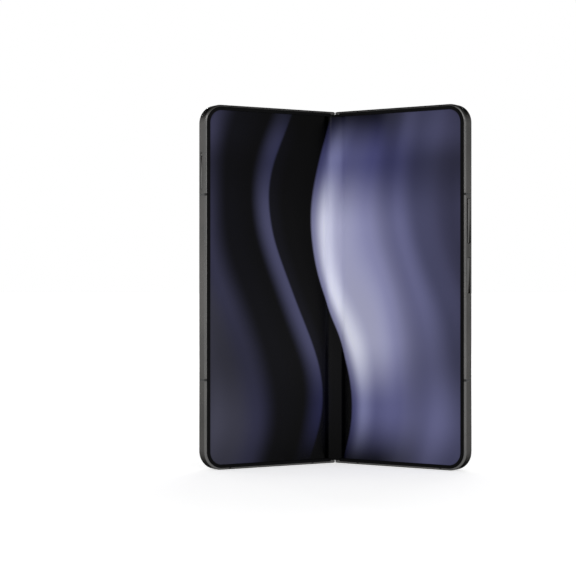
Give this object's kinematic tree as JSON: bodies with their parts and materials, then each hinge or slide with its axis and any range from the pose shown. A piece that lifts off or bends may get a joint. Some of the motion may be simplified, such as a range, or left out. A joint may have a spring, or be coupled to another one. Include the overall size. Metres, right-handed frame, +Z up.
{
  "type": "book-style foldable phone",
  "caption": "Foldable phone with a large inner screen that bends over a geared double-axis hinge, standing part open on its lower edges.",
  "frame": {"origin": "middle of the bounding box at the level of the lower edges it stands on", "axes": "+Z up along the hinge, +X to the camera half, -Y is where the inner screens face"},
  "size_m": [0.1152, 0.0394, 0.1549],
  "materials": {
    "graphite_rail": "satin anodised",
    "key_metal": "satin anodised",
    "island_metal": "satin anodised",
    "lens_ring_metal": "polished edge",
    "antenna_plastic": "matte",
    "back_glass": "satin, opaque",
    "black_glass": "gloss, opaque",
    "flash_plastic": "translucent",
    "folding_screen": "gloss, lit picture",
    "bezel_rubber": "matte",
    "spine_metal": "satin anodised",
    "cap_plastic": "matte",
    "hinge_steel": "plain",
    "washer_steel": "plain",
    "screw_steel": "plain",
    "plate_steel": "plain",
    "flex_polyimide": "satin",
    "board_laminate": "matte",
    "shield_steel": "plain",
    "battery_pouch": "matte film",
    "coil_copper": "plain",
    "module_plastic": "matte",
    "led_phosphor": "plain",
    "panel": "gloss"
  },
  "bodies": {
    "spine": {"spine_cover": "spine_metal", "spine_end_caps": "cap_plastic", "upper_hinge_bracket": "hinge_steel", "lower_hinge_bracket": "hinge_steel", "bracket_screws": "screw_steel", "friction_washers": "washer_steel", "shaft_nuts": "screw_steel", "centre_support_plate": "plate_steel", "screen_bend": "folding_screen", "hinge_flex_cables": "flex_polyimide"},
    "camera_half": {"camera_half_frame": "graphite_rail", "camera_half_antenna_bands": "antenna_plastic", "rear_glass": "back_glass", "camera_island": "island_metal", "lens_rings": "lens_ring_metal", "lens_windows": "black_glass", "wide_camera": "module_plastic", "ultra_wide_camera": "module_plastic", "telephoto_camera": "module_plastic", "flash_window": "flash_plastic", "flash_led": "led_phosphor", "main_board": "board_laminate", "main_board_shields": "shield_steel", "camera_half_battery": "battery_pouch", "charging_coil": "coil_copper", "charging_port": "shield_steel", "loudspeaker": "module_plastic", "key_switches": "shield_steel", "camera_half_screws": "screw_steel", "under_screen_camera": "module_plastic", "camera_side_bezel": "bezel_rubber", "camera_side_screen": "folding_screen", "camera_side_backing": "plate_steel", "camera_side_hinge_arms": "hinge_steel", "camera_arm_screws": "screw_steel"},
    "cover_half": {"cover_half_frame": "graphite_rail", "cover_half_antenna_bands": "antenna_plastic", "cover_glass": "black_glass", "cover_screen_panel": "panel", "cover_camera": "module_plastic", "earpiece": "module_plastic", "cover_half_battery": "battery_pouch", "sub_board": "board_laminate", "sub_board_shields": "shield_steel", "haptic_motor": "shield_steel", "card_reader": "shield_steel", "cover_half_screws": "screw_steel", "cover_side_bezel": "bezel_rubber", "cover_side_screen": "folding_screen", "cover_side_backing": "plate_steel", "cover_side_hinge_arms": "hinge_steel", "cover_arm_screws": "screw_steel"},
    "camera_side_wing": {"camera_side_wing": "plate_steel"},
    "cover_side_wing": {"cover_side_wing": "plate_steel"},
    "camera_side_idlers": {"camera_side_idlers": "hinge_steel"},
    "cover_side_idlers": {"cover_side_idlers": "hinge_steel"},
    "volume_key": {"volume_key": "key_metal"},
    "power_key": {"power_key": "key_metal"},
    "card_tray": {"card_tray": "key_metal"}
  },
  "joints": [
    {"name": "camera_fold", "type": "hinge", "parent": "spine", "child": "camera_half", "pos_m": [0.0018, 0.01467, 0.07745], "axis": [0, 0, 1], "range_deg": [-58, 32], "deforming": ["screen_bend", "hinge_flex_cables"]},
    {"name": "cover_fold", "type": "hinge", "parent": "spine", "child": "cover_half", "pos_m": [-0.0018, 0.01467, 0.07745], "axis": [0, 0, 1], "range_deg": [-32, 58], "deforming": ["screen_bend", "hinge_flex_cables"]},
    {"name": "camera_wing_tilt", "type": "hinge", "parent": "camera_half", "child": "camera_side_wing", "pos_m": [0.00557, 0.01222, 0.07745], "axis": [0, 0, 1], "range_deg": [-16.2, 9]},
    {"name": "cover_wing_tilt", "type": "hinge", "parent": "cover_half", "child": "cover_side_wing", "pos_m": [-0.00557, 0.01222, 0.07745], "axis": [0, 0, 1], "range_deg": [-9, 16.2]},
    {"name": "camera_idler_spin", "type": "hinge", "parent": "spine", "child": "camera_side_idlers", "pos_m": [0.0011, 0.01665, 0.07745], "axis": [0, 0, 1], "range_deg": [-30, 53]},
    {"name": "cover_idler_spin", "type": "hinge", "parent": "spine", "child": "cover_side_idlers", "pos_m": [-0.0011, 0.01665, 0.07745], "axis": [0, 0, 1], "range_deg": [-53, 30]},
    {"name": "volume_rock", "type": "hinge", "parent": "camera_half", "child": "volume_key", "pos_m": [0.05485, -0.0163, 0.1054], "axis": [0.5299, 0.848, 0], "range_deg": [-1.4, 1.4], "stiffness_Nm_per_rad": 0.5},
    {"name": "power_press", "type": "slide", "parent": "camera_half", "child": "power_key", "axis": [-0.848, 0.5299, 0], "range_m": [0, 0.00025], "stiffness_N_per_m": 1500, "springref_m": -0.0002},
    {"name": "card_tray_slide", "type": "slide", "parent": "cover_half", "child": "card_tray", "axis": [-0.848, -0.5299, 0], "range_m": [0, 0.016]}
  ],
  "couplings": [
    {"joint": "cover_fold", "follows": "camera_fold", "ratio": -1},
    {"joint": "camera_wing_tilt", "follows": "camera_fold", "ratio": 0.2778},
    {"joint": "cover_wing_tilt", "follows": "camera_fold", "ratio": -0.2778},
    {"joint": "camera_idler_spin", "follows": "camera_fold", "ratio": -0.90909},
    {"joint": "cover_idler_spin", "follows": "camera_fold", "ratio": 0.90909}
  ]
}
